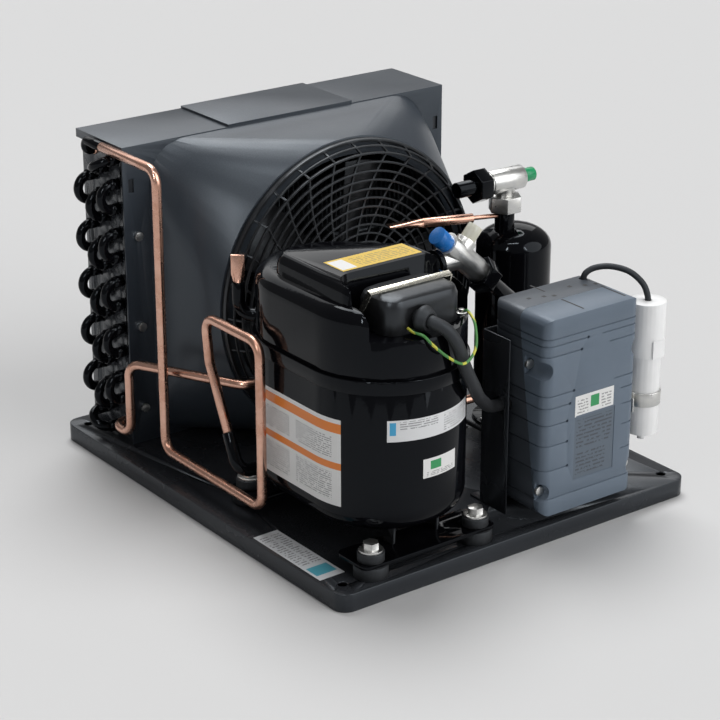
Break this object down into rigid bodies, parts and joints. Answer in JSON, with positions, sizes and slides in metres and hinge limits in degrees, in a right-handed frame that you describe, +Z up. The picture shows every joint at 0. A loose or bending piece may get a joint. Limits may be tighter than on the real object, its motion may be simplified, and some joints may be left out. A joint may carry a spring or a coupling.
{
  "type": "air-cooled condensing unit",
  "caption": "Hermetic compressor, finned condenser with fan shroud and guard, liquid receiver and electrical box on one pressed base plate.",
  "frame": {"origin": "centre of the base plate's four fixing holes at its bottom edge", "axes": "+X along the front edge, +Y from the compressor to the condenser, +Z up"},
  "size_m": [0.42, 0.4963, 0.3315],
  "materials": {
    "gloss_black": "gloss black enamel",
    "base_black": "black powder coat",
    "shroud_grey": "satin dark grey paint",
    "box_grey": "moulded blue grey plastic",
    "box_dark": "moulded dark grey plastic",
    "black_plastic": "moulded black plastic",
    "rubber": "black rubber",
    "zinc": "zinc plated",
    "white_metal": "nickel plated brass",
    "copper": "drawn copper",
    "fins": "black coated aluminium fins",
    "milk_plastic": "milky plastic",
    "blue_plastic": "blue plastic cap",
    "green_plastic": "green plastic cap",
    "cream_plastic": "cream plastic cap",
    "earth_yellow": "green and yellow insulation",
    "motor_steel": "dark painted motor shell"
  },
  "bodies": {
    "chassis": {"base_plate": "base_black", "base_screws": "zinc", "compressor_feet": "gloss_black", "mount_grommets": "rubber", "mount_sleeves": "zinc", "mount_bolts": "zinc", "mount_nuts": "zinc", "compressor_lower_shell": "gloss_black", "compressor_upper_shell": "gloss_black", "weld_band": "gloss_black", "terminal_block": "milk_plastic", "terminal_cover": "black_plastic", "cable_gland": "rubber", "compressor_lead": "rubber", "earth_wire": "earth_yellow", "earth_screw": "zinc", "process_stub": "gloss_black", "process_tube": "copper", "discharge_stub": "gloss_black", "suction_spud": "gloss_black", "suction_valve_body": "zinc", "suction_union_nut": "gloss_black", "suction_union_stub": "gloss_black", "discharge_line": "copper", "outlet_line": "copper", "fin_pack": "fins", "tube_sheets": "base_black", "coil_tubes": "copper", "return_bends": "gloss_black", "coil_inlet": "gloss_black", "fan_shroud": "shroud_grey", "shroud_screws": "zinc", "fan_guard": "black_plastic", "motor_bracket": "base_black", "fan_motor": "motor_steel", "motor_lead": "rubber", "receiver_shell": "gloss_black", "receiver_foot": "gloss_black", "receiver_adaptor": "gloss_black", "liquid_valve_nut": "zinc", "liquid_valve_body": "zinc", "liquid_union_nut": "gloss_black", "liquid_union_stub": "gloss_black", "charging_tube": "copper", "box_bracket": "base_black", "box_back": "box_dark", "box_cover": "box_grey", "box_screws": "zinc", "capacitor_can": "milk_plastic", "capacitor_boot": "milk_plastic", "capacitor_clamp": "zinc", "capacitor_lead": "rubber"},
    "fan_rotor": {"fan_shaft": "zinc", "fan_bush": "zinc", "fan_wheel": "black_plastic", "fan_nut": "zinc"},
    "bail": {"bail_strap": "white_metal"},
    "suction_spindle_cap": {"suction_valve_cap": "blue_plastic"},
    "suction_service_cap": {"suction_port_cap": "cream_plastic"},
    "liquid_spindle_cap": {"liquid_valve_cap": "green_plastic"}
  },
  "joints": [
    {"name": "fan_spin", "type": "hinge", "parent": "chassis", "child": "fan_rotor", "pos_m": [0.015, 0.08, 0.174], "axis": [0, 1, 0], "continuous": true},
    {"name": "bail_swing", "type": "hinge", "parent": "chassis", "child": "bail", "pos_m": [-0.098, -0.18, 0.245], "axis": [-1, 0, 0], "range_deg": [0, 50]},
    {"name": "suction_cap_off", "type": "slide", "parent": "chassis", "child": "suction_spindle_cap", "axis": [-0.7431, 0, 0.6691], "range_m": [0, 0.016]},
    {"name": "suction_port_cap_off", "type": "slide", "parent": "chassis", "child": "suction_service_cap", "axis": [0.6691, 0, 0.7431], "range_m": [0, 0.016]},
    {"name": "liquid_cap_off", "type": "slide", "parent": "chassis", "child": "liquid_spindle_cap", "axis": [1, 0, 0], "range_m": [0, 0.016]}
  ]
}
